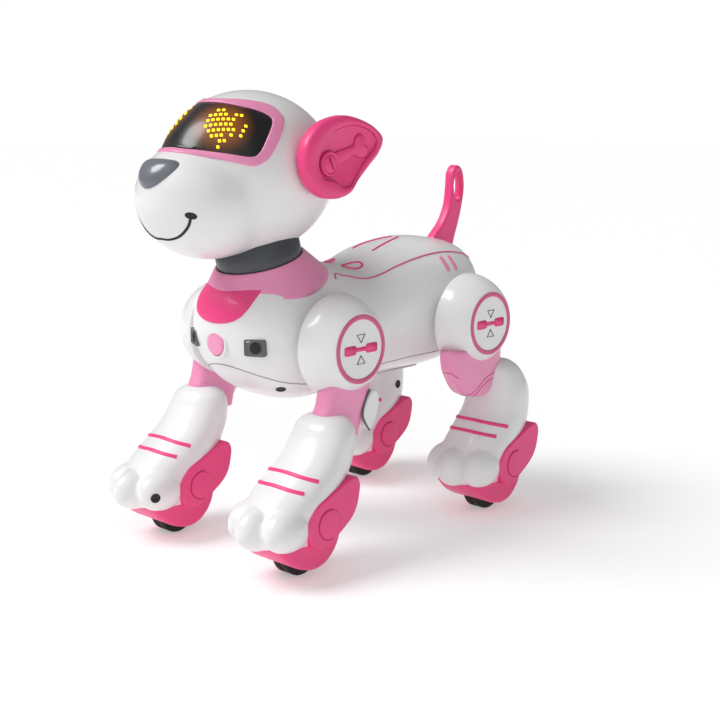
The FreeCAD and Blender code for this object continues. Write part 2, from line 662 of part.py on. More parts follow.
def across_leg(radius, length, side, wheel_y):
    """A cylinder on the wheel's axis, centred on the leg."""
    return cylinder(radius, length, "%d * leg_x - (%s) / 2" % (side, length), wheel_y,
                    "wheel_radius", LEFTWARD)


def sole(side, wheel_y, calf, toe_solids):
    """The housing under the paw, with a round cheek up each side, all trimmed to the paw."""
    base = slab("YZ_Plane", SOLE, "%d * leg_x - sole_half" % side, "sole_half * 2", y=wheel_y)
    cheeks = [slab("YZ_Plane", CHEEK, "%d * leg_x + (%s)" % (side, low), "cheek_thickness",
                   y=wheel_y) for low in ("cheek_x - cheek_thickness", "-cheek_x")]
    return fuse(*[cut(piece, calf, *toe_solids) for piece in [base] + cheeks])


# ---------------------------------------------------------------- build, check and write
def check_document():
    for obj in doc.Objects:
        if "Invalid" in obj.State or "Error" in obj.State:
            raise RuntimeError("%s failed: %s" % (obj.Name, obj.State))
    for obj in parts:
        if obj.Shape.isNull() or not obj.Shape.isValid() or not obj.Shape.Solids:
            raise RuntimeError(obj.Label + " has no valid solid")


def main():
    fill_sheet()
    make_head()
    make_ears()
    make_torso()
    make_inside()
    make_controls()
    for pair in ("front", "rear"):
        for flank, side in (("left", 1), ("right", -1)):
            make_leg(pair, flank, side)
    doc.recompute()
    check_document()
    os.makedirs("parts", exist_ok=True)
    for obj in parts:
        obj.Shape.exportStep("parts/%s.step" % obj.Label)
        print("%-28s solids %d  volume %.0f" % (obj.Label, len(obj.Shape.Solids), obj.Shape.Volume))


LEG_TABLES = {"front": (FRONT_CALF, FRONT_THIGH), "rear": (REAR_CALF, REAR_THIGH)}
LIMB_COLUMNS = ("z", "front", "back", "half")
SECTION_TABLES = [("head", HEAD, ("y", "half", "low", "high")),
                  ("nose", NOSE, ("y", "half", "low", "high")),
                  ("torso", TORSO, ("y", "half", "low", "high")),
                  ("front_calf", FRONT_CALF, LIMB_COLUMNS),
                  ("rear_calf", REAR_CALF, LIMB_COLUMNS),
                  ("front_thigh", FRONT_THIGH, LIMB_COLUMNS),
                  ("rear_thigh", REAR_THIGH, LIMB_COLUMNS)]

main()
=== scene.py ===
"""Looks of the robot dog toy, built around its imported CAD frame.  Sizes here are millimetres
and become metres when a mesh is made.  The dog looks along -Y and +X is its left side."""
import math

import bmesh
import bpy
import numpy as np
from mathutils import Matrix, Vector
from mathutils.bvhtree import BVHTree
from mathutils.geometry import delaunay_2d_cdt


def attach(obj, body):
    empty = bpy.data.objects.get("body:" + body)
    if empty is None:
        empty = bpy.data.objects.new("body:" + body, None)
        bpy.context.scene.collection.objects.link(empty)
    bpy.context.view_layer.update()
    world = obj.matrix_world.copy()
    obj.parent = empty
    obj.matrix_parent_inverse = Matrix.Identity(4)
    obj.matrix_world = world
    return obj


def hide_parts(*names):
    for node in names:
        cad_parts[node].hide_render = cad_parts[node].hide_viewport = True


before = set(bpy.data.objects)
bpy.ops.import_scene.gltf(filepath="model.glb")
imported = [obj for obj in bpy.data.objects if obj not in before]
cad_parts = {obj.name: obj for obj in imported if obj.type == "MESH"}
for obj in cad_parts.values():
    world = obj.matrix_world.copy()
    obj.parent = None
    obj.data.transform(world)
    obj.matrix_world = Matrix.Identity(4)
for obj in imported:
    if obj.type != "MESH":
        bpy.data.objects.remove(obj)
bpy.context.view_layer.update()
MM = 0.001


# ---------------------------------------------------------------- materials
def linear(colour):
    """A screen colour, 0 to 255, as the renderer's linear numbers."""
    return [((c / 255 + 0.055) / 1.055) ** 2.4 if c > 10 else c / 3294.6 for c in colour] + [1.0]


def plastic(name, colour, roughness=0.3, coat=0.4, grain=0.02, fleck=0.05, glow=0.0, metal=0.0):
    """Moulded plastic: a soft mottle in its colour and a fine orange-peel in its surface."""
    mat = bpy.data.materials.new(name)
    mat.use_nodes = True
    nodes, links = mat.node_tree.nodes, mat.node_tree.links
    shader = nodes["Principled BSDF"]
    where = nodes.new("ShaderNodeTexCoord")
    mottle = nodes.new("ShaderNodeTexNoise")
    mottle.inputs["Scale"].default_value = 60
    mottle.inputs["Detail"].default_value = 4
    ramp = nodes.new("ShaderNodeValToRGB")
    base = linear(colour)
    ramp.color_ramp.elements[0].position, ramp.color_ramp.elements[1].position = 0.35, 0.65
    ramp.color_ramp.elements[0].color = [c * (1 - fleck) for c in base[:3]] + [1]
    ramp.color_ramp.elements[1].color = base
    peel = nodes.new("ShaderNodeTexNoise")
    peel.inputs["Scale"].default_value = 900
    bump = nodes.new("ShaderNodeBump")
    bump.inputs["Strength"].default_value = grain
    bump.inputs["Distance"].default_value = 0.0002
    links.new(where.outputs["Object"], mottle.inputs["Vector"])
    links.new(where.outputs["Object"], peel.inputs["Vector"])
    links.new(mottle.outputs["Fac"], ramp.inputs["Fac"])
    links.new(ramp.outputs["Color"], shader.inputs["Base Color"])
    links.new(peel.outputs["Fac"], bump.inputs["Height"])
    links.new(bump.outputs["Normal"], shader.inputs["Normal"])
    shader.inputs["Roughness"].default_value = roughness
    shader.inputs["Coat Weight"].default_value = coat
    shader.inputs["Coat Roughness"].default_value = 0.08
    shader.inputs["Metallic"].default_value = metal
    if glow:
        links.new(ramp.outputs["Color"], shader.inputs["Emission Color"])
        shader.inputs["Emission Strength"].default_value = glow
    return mat


def light_up(material, spot, near, far, colour):
    """A soft glow about a spot and its mirror image, full out to near and gone at far."""
    nodes, links = material.node_tree.nodes, material.node_tree.links
    where = nodes.new("ShaderNodeTexCoord")
    split = nodes.new("ShaderNodeSeparateXYZ")
    fold = nodes.new("ShaderNodeMath")
    fold.operation = "ABSOLUTE"
    join = nodes.new("ShaderNodeCombineXYZ")
    apart = nodes.new("ShaderNodeVectorMath")
    apart.operation = "DISTANCE"
    apart.inputs[1].default_value = spot
    fade = nodes.new("ShaderNodeMapRange")
    fade.interpolation_type = "SMOOTHSTEP"
    fade.inputs["From Min"].default_value, fade.inputs["From Max"].default_value = near, far
    fade.inputs["To Min"].default_value, fade.inputs["To Max"].default_value = 0.55, 0.0
    links.new(where.outputs["Object"], split.inputs["Vector"])
    links.new(split.outputs["X"], fold.inputs[0])
    links.new(fold.outputs["Value"], join.inputs["X"])
    links.new(split.outputs["Y"], join.inputs["Y"])
    links.new(split.outputs["Z"], join.inputs["Z"])
    links.new(join.outputs["Vector"], apart.inputs[0])
    links.new(apart.outputs["Value"], fade.inputs["Value"])
    shader = nodes["Principled BSDF"]
    shader.inputs["Emission Color"].default_value = linear(colour)
    links.new(fade.outputs["Result"], shader.inputs["Emission Strength"])


WHITE = plastic("white_plastic", (236, 236, 236), 0.32, 0.5, fleck=0.01)
LINE_GREY = plastic("seam_grey", (150, 150, 150), 0.6, 0.0)
LIGHT_PINK = plastic("light_pink_plastic", (243, 150, 192), 0.35, 0.4)
HOT_PINK = plastic("hot_pink_plastic", (243, 66, 134), 0.42, 0.14)
# Thin deep pink lines: painted shade in grooves and along the rims of raised parts.
PINK_GROOVE_SHADE = plastic("pink_groove_painted_shade", (186, 38, 96), 0.6, 0.0)
EDGE_PINK = plastic("edge_pink", (214, 92, 140), 0.45, 0.1)
NECK_GREY = plastic("neck_grey_plastic", (66, 70, 75), 0.45, 0.2)
NOSE_GREY = plastic("nose_grey_plastic", (112, 114, 124), 0.3, 0.5)
SENSOR_GREY = plastic("sensor_grey_plastic", (92, 94, 99), 0.4, 0.3)
BLACK_GLASS = plastic("black_screen_glass", (12, 12, 13), 0.3, 0.12, grain=0.0)
LED = plastic("led_yellow", (255, 222, 24), 0.4, 0.0, glow=1.3)
RUBBER = plastic("black_rubber", (22, 22, 23), 0.7, 0.0, grain=0.2)
DARK = plastic("dark_recess", (26, 26, 28), 0.6, 0.0)
STEEL = plastic("screw_steel", (120, 122, 126), 0.35, 0.0, metal=0.9)
BOARD = plastic("board_green", (26, 84, 50), 0.5, 0.2)
WRAP = plastic("battery_wrap", (40, 78, 140), 0.4, 0.2)


# ---------------------------------------------------------------- mesh helpers
def from_mesh(name, mesh, material):
    obj = bpy.data.objects.new(name, mesh)
    bpy.context.scene.collection.objects.link(obj)
    mesh.materials.clear()
    mesh.materials.append(material)
    mesh.shade_smooth()
    return obj


def piece(name, spots, faces, material):
    """A piece from points in millimetres."""
    mesh = bpy.data.meshes.new(name)
    mesh.from_pydata([tuple(MM * c for c in spot) for spot in spots], [], faces)
    mesh.validate()
    editor = bmesh.new()
    editor.from_mesh(mesh)
    bmesh.ops.remove_doubles(editor, verts=editor.verts, dist=1e-6)
    bmesh.ops.recalc_face_normals(editor, faces=editor.faces)
    editor.to_mesh(mesh)
    editor.free()
    return from_mesh(name, mesh, material)


def applied(obj):
    """The piece with its modifiers made part of its mesh."""
    graph = bpy.context.evaluated_depsgraph_get()
    mesh = bpy.data.meshes.new_from_object(obj.evaluated_get(graph))
    old = obj.data
    obj.modifiers.clear()
    obj.data = mesh
    if old.users == 0:
        bpy.data.meshes.remove(old)
    return obj


def rounded(obj, width, segments=3, angle=35):
    """Rounds a piece's hard edges."""
    bevel = obj.modifiers.new("round", "BEVEL")
    bevel.width = width * MM
    bevel.segments = segments
    bevel.limit_method = "ANGLE"
    bevel.angle_limit = math.radians(angle)
    bevel.harden_normals = False
    return applied(obj)


def thick(obj, depth, width=0.0):
    """Gives a sheet a depth behind its face, and rounds its rim."""
    solid = obj.modifiers.new("depth", "SOLIDIFY")
    solid.thickness = depth * MM
    solid.offset = -1
    applied(obj)
    return rounded(obj, width) if width else obj


def rings(loops, closed_ends=True):
    """Points and faces of a skin through equal-count loops."""
    loops = [np.asarray(loop, float) for loop in loops]
    count = len(loops[0])
    spots = [tuple(p) for loop in loops for p in loop]
    faces = []
    for level in range(len(loops) - 1):
        for i in range(count):
            j = (i + 1) % count
            faces.append((level * count + i, level * count + j,
                          (level + 1) * count + j, (level + 1) * count + i))
    if closed_ends:
        faces.append(tuple(range(count))[::-1])
        faces.append(tuple(range((len(loops) - 1) * count, len(loops) * count)))
    return spots, faces


def lathe(name, profile, centre, axis, material, steps=96, ends=True):
    """A piece turned about an axis from (distance along it, radius) pairs."""
    axis = Vector(axis).normalized()
    side = axis.orthogonal().normalized()
    other = axis.cross(side)
    loops = []
    for along, radius in profile:
        hub = Vector(centre) + axis * along
        loops.append([hub + side * (radius * math.cos(a)) + other * (radius * math.sin(a))
                      for a in np.arange(steps) * (2 * math.pi / steps)])
    return piece(name, *rings(loops, ends), material)


def curved(points, count, closed=True):
    """A smooth line through a few points, cut into equal steps."""
    points = np.asarray(points, float)
    n = len(points)
    fine = []
    spans = n if closed else n - 1
    for i in range(spans):
        if closed:
            a, b, c, d = (points[(i + k - 1) % n] for k in range(4))
        else:
            a, b, c, d = (points[min(max(i + k - 1, 0), n - 1)] for k in range(4))
        for t in np.arange(0, 1, 0.05):
            fine.append(0.5 * (2 * b + (c - a) * t + (2 * a - 5 * b + 4 * c - d) * t * t
                               + (3 * b - a - 3 * c + d) * t ** 3))
    fine.append(points[0] if closed else points[-1])
    fine = np.array(fine)
    run = np.concatenate([[0], np.cumsum(np.linalg.norm(np.diff(fine, axis=0), axis=1))])
    where = np.linspace(0, run[-1], count, endpoint=not closed)
    return np.stack([np.interp(where, run, fine[:, k]) for k in range(points.shape[1])], 1)


def inset(loop, distance):
    """A closed plane loop moved inwards."""
    ahead, behind = np.roll(loop, -1, 0), np.roll(loop, 1, 0)
    along = ahead - behind
    area = 0.5 * np.sum(loop[:, 0] * ahead[:, 1] - ahead[:, 0] * loop[:, 1])
    normal = np.stack([-along[:, 1], along[:, 0]], 1) * (1 if area > 0 else -1)
    return loop + normal / np.linalg.norm(normal, axis=1)[:, None] * distance


def within(loop, spots):
    """Which plane points lie inside a closed loop."""
    x, y = spots[:, 0], spots[:, 1]
    hit = np.zeros(len(spots), bool)
    for (ax, ay), (bx, by) in zip(loop, np.roll(loop, -1, 0)):
        crosses = (ay > y) != (by > y)
        if by != ay:
            hit ^= crosses & (x < (bx - ax) * (y - ay) / (by - ay) + ax)
    return hit


def sheet_over(name, outline, project, spacing, material, holes=()):
    """A thin sheet over a surface: a plane outline, filled, then carried onto the surface."""
    loops = [np.asarray(outline)] + [np.asarray(hole) for hole in holes]
    low, high = loops[0].min(0), loops[0].max(0)
    grid = np.array([(x, y) for x in np.arange(low[0], high[0], spacing)
                     for y in np.arange(low[1], high[1], spacing)])
    keep = within(inset(loops[0], spacing * 0.45), grid)
    for hole in loops[1:]:
        keep &= ~within(inset(hole, -spacing * 0.45), grid)
    spots, edges = [], []
    for loop in loops:
        start = len(spots)
        spots += [Vector(p) for p in loop]
        edges += [(start + i, start + (i + 1) % len(loop)) for i in range(len(loop))]
    spots += [Vector(p) for p in grid[keep]]
    flat, _, triangles, *_ = delaunay_2d_cdt(spots, edges, [], 0, 1e-6)
    flat = np.array([tuple(p) for p in flat])
    middles = np.array([flat[list(t)].mean(0) for t in triangles])
    good = within(loops[0], middles)
    for hole in loops[1:]:
        good &= ~within(hole, middles)
    faces = [tuple(t) for t, ok in zip(triangles, good) if ok]
    return piece(name, [project(p) for p in flat], faces, material)


def blended(name, solids, voxel, smooth, material):
    """Solids melted into one skin with soft creases."""
    spots, faces = [], []
    for more_spots, more_faces in solids:
        start = len(spots)
        spots += [tuple(p) for p in more_spots]
        faces += [tuple(start + i for i in face) for face in more_faces]
    mesh = bpy.data.meshes.new(name)
    mesh.from_pydata([tuple(MM * c for c in p) for p in spots], [], faces)
    editor = bmesh.new()
    editor.from_mesh(mesh)
    bmesh.ops.recalc_face_normals(editor, faces=editor.faces)
    editor.to_mesh(mesh)
    editor.free()
    obj = from_mesh(name, mesh, material)
    melt = obj.modifiers.new("melt", "REMESH")
    melt.mode = "VOXEL"
    melt.voxel_size = voxel * MM
    ease = obj.modifiers.new("ease", "SMOOTH")
    ease.factor = 0.5
    ease.iterations = smooth
    applied(obj)
    obj.data.shade_smooth()
    return obj


def ball(centre, radii, steps=48):
    """Points and faces of an ellipsoid."""
    loops = []
    for a in np.linspace(-math.pi / 2 + 0.03, math.pi / 2 - 0.03, steps // 2):
        loops.append([Vector(centre) + Vector((radii[0] * math.cos(a) * math.cos(b),
                                               radii[1] * math.cos(a) * math.sin(b),
                                               radii[2] * math.sin(a)))
                      for b in np.arange(steps) * (2 * math.pi / steps)])
    return rings(loops)


def oval_loop(centre, across, up, squareness, count=64):
    angles = np.arange(count) * (2 * math.pi / count)
    reach = [np.sign(f) * np.abs(f) ** (2 / squareness) for f in (np.cos(angles), np.sin(angles))]
    return (np.asarray(centre)[None] + reach[0][:, None] * np.asarray(across)[None]
            + reach[1][:, None] * np.asarray(up)[None])


def curved_rows(rows, factor):
    """Cross-section rows with smooth rows between them."""
    out = []
    n = len(rows)
    for i in range(n - 1):
        a, b, c, d = rows[max(i - 1, 0)], rows[i], rows[i + 1], rows[min(i + 2, n - 1)]
        for t in np.arange(factor) / factor:
            out.append(0.5 * (2 * b + (c - a) * t + (2 * a - 5 * b + 4 * c - d) * t * t
                              + (3 * b - a - 3 * c + d) * t ** 3))
    out.append(rows[-1])
    return out


def tube(name, points, radius, material, closed=False):
    """A round line along points."""
    line = bpy.data.curves.new(name, "CURVE")
    line.dimensions = "3D"
    line.bevel_depth = radius * MM
    line.bevel_resolution = 3
    line.use_fill_caps = True
    spline = line.splines.new("POLY")
    spline.points.add(len(points) - 1)
    for point, spot in zip(spline.points, points):
        point.co = (*(MM * c for c in spot), 1)
    spline.use_cyclic_u = closed
    obj = bpy.data.objects.new(name, line)
    bpy.context.scene.collection.objects.link(obj)
    graph = bpy.context.evaluated_depsgraph_get()
    mesh = bpy.data.meshes.new_from_object(obj.evaluated_get(graph))
    bpy.data.objects.remove(obj)
    return from_mesh(name, mesh, material)


def fit(obj, body, slot, *nodes):
    """Rides a piece on its body and hides the CAD nodes it stands for. The finish, slot, is not used.
    """
    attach(obj, body)
    if nodes:
        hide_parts(*nodes)
    return obj


def surface(obj):
    """A ray caster over a finished piece, in millimetres."""
    mesh = obj.data
    spots = [v.co / MM for v in mesh.vertices]
    return BVHTree.FromPolygons(spots, [tuple(p.vertices) for p in mesh.polygons])


def cast(tree, start, direction, lift=0.0):
    """Where a ray meets the surface, moved out along the surface's normal."""
    spot, normal, _, _ = tree.ray_cast(Vector(start), Vector(direction).normalized())
    if spot is None:
        spot, normal, _, _ = tree.find_nearest(Vector(start))
    if normal.dot(Vector(direction)) > 0:
        normal = -normal
    return spot + normal * lift


def nearest(tree, spot, lift=0.0):
    found, normal, _, _ = tree.find_nearest(Vector(spot))
    return found + normal * lift


# ---------------------------------------------------------------- head
HEAD_MIDDLE = np.array([0, -68, 214.0])
SKULL = (np.array([0, -56.4, 220.0]), np.array([41.2, 55.4, 46.0]), 0.0)
MUZZLE = (np.array([0, -90.7, 205.7]), np.array([33.8, 39.0, 31.4]), math.radians(-17.1))
SOFTNESS = 0.55


def ray_length(way, form):
    """How far the head's middle is from an ellipsoid's surface in each direction."""
    centre, radii, pitch = form
    c, s = math.cos(pitch), math.sin(pitch)
    untilt = np.array([[1, 0, 0], [0, c, s], [0, -s, c]])
    p = (untilt @ (HEAD_MIDDLE - centre)) / radii
    d = (way @ untilt.T) / radii
    a, b, k = (d * d).sum(-1), (d * p).sum(-1), (p * p).sum() - 1
    return (-b + np.sqrt(b * b - a * k)) / a


def head_spots(way, lift=0.0):
    """Points of the head's surface in the given directions from its middle."""
    way = np.asarray(way, float)
    way = way / np.linalg.norm(way, axis=-1, keepdims=True)
    both = np.stack([ray_length(way, SKULL), ray_length(way, MUZZLE)])
    reach = both.max(0) + np.log(np.exp(-np.abs(both[0] - both[1]) * SOFTNESS) + 1) / SOFTNESS
    return HEAD_MIDDLE + way * (reach + lift)[..., None]


def chart(spots, toward):
    """Spreads directions round a main one out on a plane, in degrees."""
    toward = np.asarray(toward, float) / np.linalg.norm(toward)
    across = np.array([1.0, 0, 0])
    up = np.cross(across, toward)
    up *= np.sign(up[2]) / np.linalg.norm(up)
    way = np.asarray(spots, float) - HEAD_MIDDLE
    way /= np.linalg.norm(way, axis=1)[:, None]
    x, y, z = way @ across, way @ up, way @ toward
    angle = np.degrees(np.arccos(np.clip(z, -1, 1)))
    size = np.maximum(np.hypot(x, y), 1e-9)
    return np.stack([x / size * angle, y / size * angle], 1)


def unchart(flat, toward):
    """The direction at a place of the plane that chart makes."""
    toward = np.asarray(toward, float) / np.linalg.norm(toward)
    across = np.array([1.0, 0, 0])
    up = np.cross(across, toward)
    up *= np.sign(up[2]) / np.linalg.norm(up)
    angle = math.radians(math.hypot(*flat))
    turn = math.atan2(flat[1], flat[0])
    return (math.cos(angle) * toward
            + math.sin(angle) * (math.cos(turn) * across + math.sin(turn) * up))


def mirrored(half):
    """A closed loop of points from its left half, which runs from top to bottom."""
    return half + [(-x, y, z) for x, y, z in reversed(half) if abs(x) > 0.01]


FRAME_OUT = [(0, -82.5, 262.3), (8, -80.5, 262.2), (16, -73, 260.8), (23.9, -61.3, 257.6),
             (28.5, -58.2, 253.6), (32.4, -58.8, 248.7), (36.6, -66.7, 239.3), (38.2, -74.2, 231),
             (37.4, -79.6, 227.2), (34.4, -86, 225.8), (25.1, -98.8, 229.3), (12, -107, 231.2),
             (0, -110, 232)]
FRAME_IN = [(0, -86.2, 260.6), (10, -84, 260.3), (18.6, -78.4, 257), (27.2, -68.6, 253),
            (31.0, -66.4, 249), (33.6, -72.5, 241), (35.5, -79.7, 233), (33.6, -85.9, 230.6),
            (24.5, -98.2, 233), (10.6, -106.9, 234.3), (0, -108.6, 234.8)]
VISOR_WAY = (0, -24, 34)


def visor_sheet(name, half, lift, material, holes=()):
    loop = curved(chart(mirrored(half), VISOR_WAY), 200)
    hole_loops = [curved(chart(mirrored(hole), VISOR_WAY), 200) for hole in holes]
    return sheet_over(name, loop, lambda p: head_spots(unchart(p, VISOR_WAY), lift), 2.2,
                      material, hole_loops)


def make_head():
    loops = []
    for a in np.linspace(0.01, math.pi - 0.01, 96):
        b = np.arange(144) * (2 * math.pi / 144)
        way = np.stack([math.sin(a) * np.cos(b), np.full_like(b, -math.cos(a)),
                        math.sin(a) * np.sin(b)], 1)
        loops.append(head_spots(way))
    whole = piece("head_whole", *rings(loops), WHITE)
    for name, node, keep_front in (("head_face", "head_front_shell", True),
                                   ("head_back", "head_rear_cover", False)):
        mesh = whole.data.copy()
        editor = bmesh.new()
        editor.from_mesh(mesh)
        bmesh.ops.bisect_plane(editor, geom=[*editor.verts, *editor.edges, *editor.faces],
                               plane_co=(0, -0.036, 0), plane_no=(0, 1, 0),
                               clear_outer=keep_front, clear_inner=not keep_front)
        editor.to_mesh(mesh)
        editor.free()
        fit(from_mesh(name, mesh, WHITE), "head", "white_shell", node)
    bpy.data.objects.remove(whole)
    visor = thick(visor_sheet("visor_surround", FRAME_OUT, 0.9, LIGHT_PINK, [FRAME_IN]), 2, 0.7)
    fit(visor, "head", "light_pink", "visor_frame")
    fit(thick(visor_sheet("visor_glass", FRAME_IN, 0.35, BLACK_GLASS), 1.5, 0.0), "head",
        "black_screen", "visor_screen")
    make_eyes()
    make_nose()
    make_mouth()


# Lit squares of an eye, on a grid that leans with the visor, in degrees from the visor's middle.
# The right eye has the same squares, mirrored and a little nearer the middle.
EYE_ROWS = ("     x x",
            "  x x x x   x x",
            " x x x x x x",
            "x x x x x x     x",
            " x x x x x x   x",
            "  x x x   x   x",
            "     x x",
            "    x")
EYE_MIDDLE = np.array([27.3, 1.2])
EYE_COLUMN = np.array([1.34, 1.05])
EYE_ROW = np.array([2.57, -3.48])
EYE_HALF_SQUARE = 1.08
RIGHT_EYE_SHIFT = 3.5


def make_eyes():
    """Two lit patterns of small rounded squares on the visor."""
    spots, faces = [], []
    across, down = (v / np.linalg.norm(v) for v in (EYE_COLUMN, EYE_ROW))
    for side in (1, -1):
        for row, line in enumerate(EYE_ROWS):
            for column, mark in enumerate(line):
                if mark == "x":
                    middle = EYE_MIDDLE + (column - 8) * EYE_COLUMN + (row - 3) * EYE_ROW
                    middle[0] -= RIGHT_EYE_SHIFT if side < 0 else 0
                    square = oval_loop(middle, across * EYE_HALF_SQUARE, down * EYE_HALF_SQUARE, 5.0,
                                       16)
                    square[:, 0] *= side
                    ways = [unchart(p, VISOR_WAY) for p in square]
                    more, made = rings([head_spots(ways, 0.2), head_spots(ways, 0.5)])
                    faces += [tuple(len(spots) + i for i in face) for face in made]
                    spots += more
    lights = piece("eye_lights", spots, faces, LED)
    fit(lights, "head", "led_board", "eye_display")
    middle = np.mean([[abs(v.co.x), v.co.y, v.co.z] for v in lights.data.vertices], 0)
    light_up(BLACK_GLASS, middle, 0.005, 0.02, (190, 104, 10))


NOSE_HALF = [(0, -119.5, 230.2), (7, -118.8, 230), (12, -116.8, 228.9), (14.2, -117, 226.3),
             (12, -121.5, 221.3), (6.5, -126.8, 216.3), (0, -128.8, 214.4)]
NOSE_WAY = (0, -56, 9)
MOUTH_HALF = [(0, -119.6, 187.1), (5.7, -118.4, 187.3), (13.2, -117.6, 189.6),
              (19.4, -117, 194.8), (22.2, -117.3, 199.6)]


def make_nose():
    """A rounded triangle, fullest at its middle."""
    loop = curved(chart(mirrored(NOSE_HALF), NOSE_WAY), 96)
    middle = loop.mean(0)
    loops = []
    for share in (1.0, 0.99, 0.96, 0.9, 0.8, 0.66, 0.5, 0.32, 0.14, 0.02):
        ways = [unchart(middle + (p - middle) * share, NOSE_WAY) for p in loop]
        loops.append(head_spots(ways, -0.6 + 3.7 * math.sqrt(1 - share ** 2.4)))
    fit(piece("nose_pad", *rings(loops), NOSE_GREY), "head", "nose_grey", "nose")


def make_mouth():
    half = curved(MOUTH_HALF, 40, closed=False)
    line = np.concatenate([half[::-1] * [-1, 1, 1], half[1:]])
    line = head_spots(line - HEAD_MIDDLE, -0.25)
    smile = tube("smile_line", line, 0.85, DARK)
    fit(smile, "head", "black_plastic")
    for side in (1, -1):
        corner = chart([(side * 22.8, -117.4, 200.8)], NOSE_WAY)[0]
        loop = oval_loop(corner, np.array([3.1, -0.9 * side]), np.array([0.5 * side, 2.0]), 2, 40)
        dimple = sheet_over("smile_corner_%s" % ("left" if side > 0 else "right"), loop,
                            lambda p: head_spots(unchart(p, NOSE_WAY), 0.25), 0.8, DARK)
        fit(thick(dimple, 0.8, 0.2), "head", "black_plastic")


EAR = [(-60.4, 226), (-58, 238), (-49, 247), (-38, 251), (-26, 252), (-10, 248), (0, 242),
       (2.2, 237), (-2, 230), (-9, 224), (-18, 216), (-24, 209.5), (-34, 206.6), (-46, 208),
       (-56, 215)]
EAR_DISH = [(-44, 238), (-38, 243.5), (-30, 246), (-21, 247), (-10, 244.5), (-3, 239.5),
            (-3.5, 234), (-12.6, 226), (-19, 218.5), (-24, 213), (-31, 212.5), (-37, 216),
            (-46, 218), (-50, 226), (-48, 233)]
EAR_BONE = [(-36, 231.5), (-29, 233.6), (-21.5, 235.6), (-19.5, 239.8), (-15.5, 241.6),
            (-12.3, 239), (-13, 235.6), (-9.8, 234), (-10.2, 230.4), (-13.5, 228.6),
            (-18, 229.2), (-21, 230.4), (-29, 227), (-35, 225)]


def make_ears():
    """Ears in their pivots: a thick plate, dished inside its rim, with a raised bone and boss."""
    rim, dish, bone = curved(EAR, 120), curved(EAR_DISH, 120), curved(EAR_BONE, 80)
    start = np.argmin(np.linalg.norm(dish - rim[0], axis=1))
    dish = np.roll(dish, -start, 0)
    levels = [(inset(rim, 2.0), 42.5), (inset(rim, 0.6), 43.0), (rim, 44.4), (rim, 48.6),
              (inset(rim, 0.5), 50.0), (inset(rim, 1.7), 50.7), (inset(dish, -0.8), 50.75),
              (inset(dish, -0.2), 50.4), (inset(dish, 0.2), 49.6), (inset(dish, 0.7), 48.7),
              (inset(dish, 1.6), 48.4)]
    for name, side in (("ear_left", 1), ("ear_right", -1)):
        plate = piece(name + "_plate",
                      *rings([[(side * x, y, z) for y, z in loop] for loop, x in levels]),
                      HOT_PINK)
        relief = piece(name + "_bone", *rings(
            [[(side * x, y, z) for y, z in inset(bone, gap)]
             for gap, x in ((0, 48.0), (0, 49.0), (0.3, 49.4), (0.9, 49.6))]), HOT_PINK)
        boss = lathe(name + "_boss", [(30.5, 0.02), (30.5, 3), (48, 3), (48, 6.9), (49.6, 6.9),
                                      (50.2, 6.5), (50.3, 5.9), (49.8, 5.4), (49.5, 5.2),
                                      (49.5, 4.7), (50.2, 4.4), (50.4, 3.6), (50.4, 0.02)],
                     (0, -40.4, 226), (side, 0, 0), HOT_PINK)
        # The slot, the rim of the dish, the bone's outline and the ring round the boss are thin deep
        # pink marks: painted shade in their grooves.
        slot = blade(name + "_slot", (side * 50.25, -40.4, 226), 0.5, 1.3, 7.6, 25, PINK_GROOVE_SHADE)
        outline = tube(name + "_rim_shade_line", [(side * 49.15, y, z) for y, z in inset(dish, 0.35)],
                       0.35, PINK_GROOVE_SHADE, closed=True)
        bone_line = tube(name + "_bone_shade_line", [(side * 48.6, y, z) for y, z in bone], 0.32,
                         PINK_GROOVE_SHADE, closed=True)
        ring = tube(name + "_boss_shade_line", [(side * 48.7, -40.4 + 7.1 * math.cos(a),
                                           226 + 7.1 * math.sin(a))
                                          for a in np.arange(48) * math.pi / 24], 0.35,
                    PINK_GROOVE_SHADE, closed=True)
        fit(plate, name, "hot_pink", name)
        for extra in (relief, boss, slot, outline, bone_line, ring):
            fit(extra, name, "hot_pink")


def blade(name, centre, depth, width, length, lean, material):
    """A small flat bar facing along X, leaning by some degrees."""
    lean = math.radians(lean)
    along = np.array([0, math.sin(lean), -math.cos(lean)])
    across = np.array([0, math.cos(lean), math.sin(lean)])
    loop = oval_loop(centre, across * width / 2, along * length / 2, 6, 24)
    lift = np.array([depth / 2, 0, 0])
    return piece(name, *rings([loop - lift, loop + lift]), material)


# ---------------------------------------------------------------- neck and collar
TILT = math.radians(15.2)
NECK_BASE, NECK_AXIS = (0, -46.6, 161.2), (0, -math.sin(TILT), math.cos(TILT))


def ring_lathe(name, profile, centre, axis, material, steps=128):
    """A turned ring: its profile closes on itself."""
    return lathe(name, profile + [profile[0]], centre, axis, material, steps, ends=False)


def make_neck():
    neck = ring_lathe("neck_band", [(3.6, 21.5), (3.6, 24.4), (4.0, 24.9), (24, 25.0), (24, 21.5)],
                      NECK_BASE, NECK_AXIS, NECK_GREY)
    fit(neck, "head", "neck_grey", "neck_ring")
    collar = ring_lathe("collar_band", [(-10, 25.4), (-10, 37.6), (-6.6, 37.8), (-5.4, 37.5),
                                        (-4.6, 36.7), (8.0, 27.4), (9.0, 26.6), (9.5, 26),
                                        (9.5, 25.4)],
                        NECK_BASE, NECK_AXIS, LIGHT_PINK)
    fit(collar, "torso", "light_pink", "neck_collar")


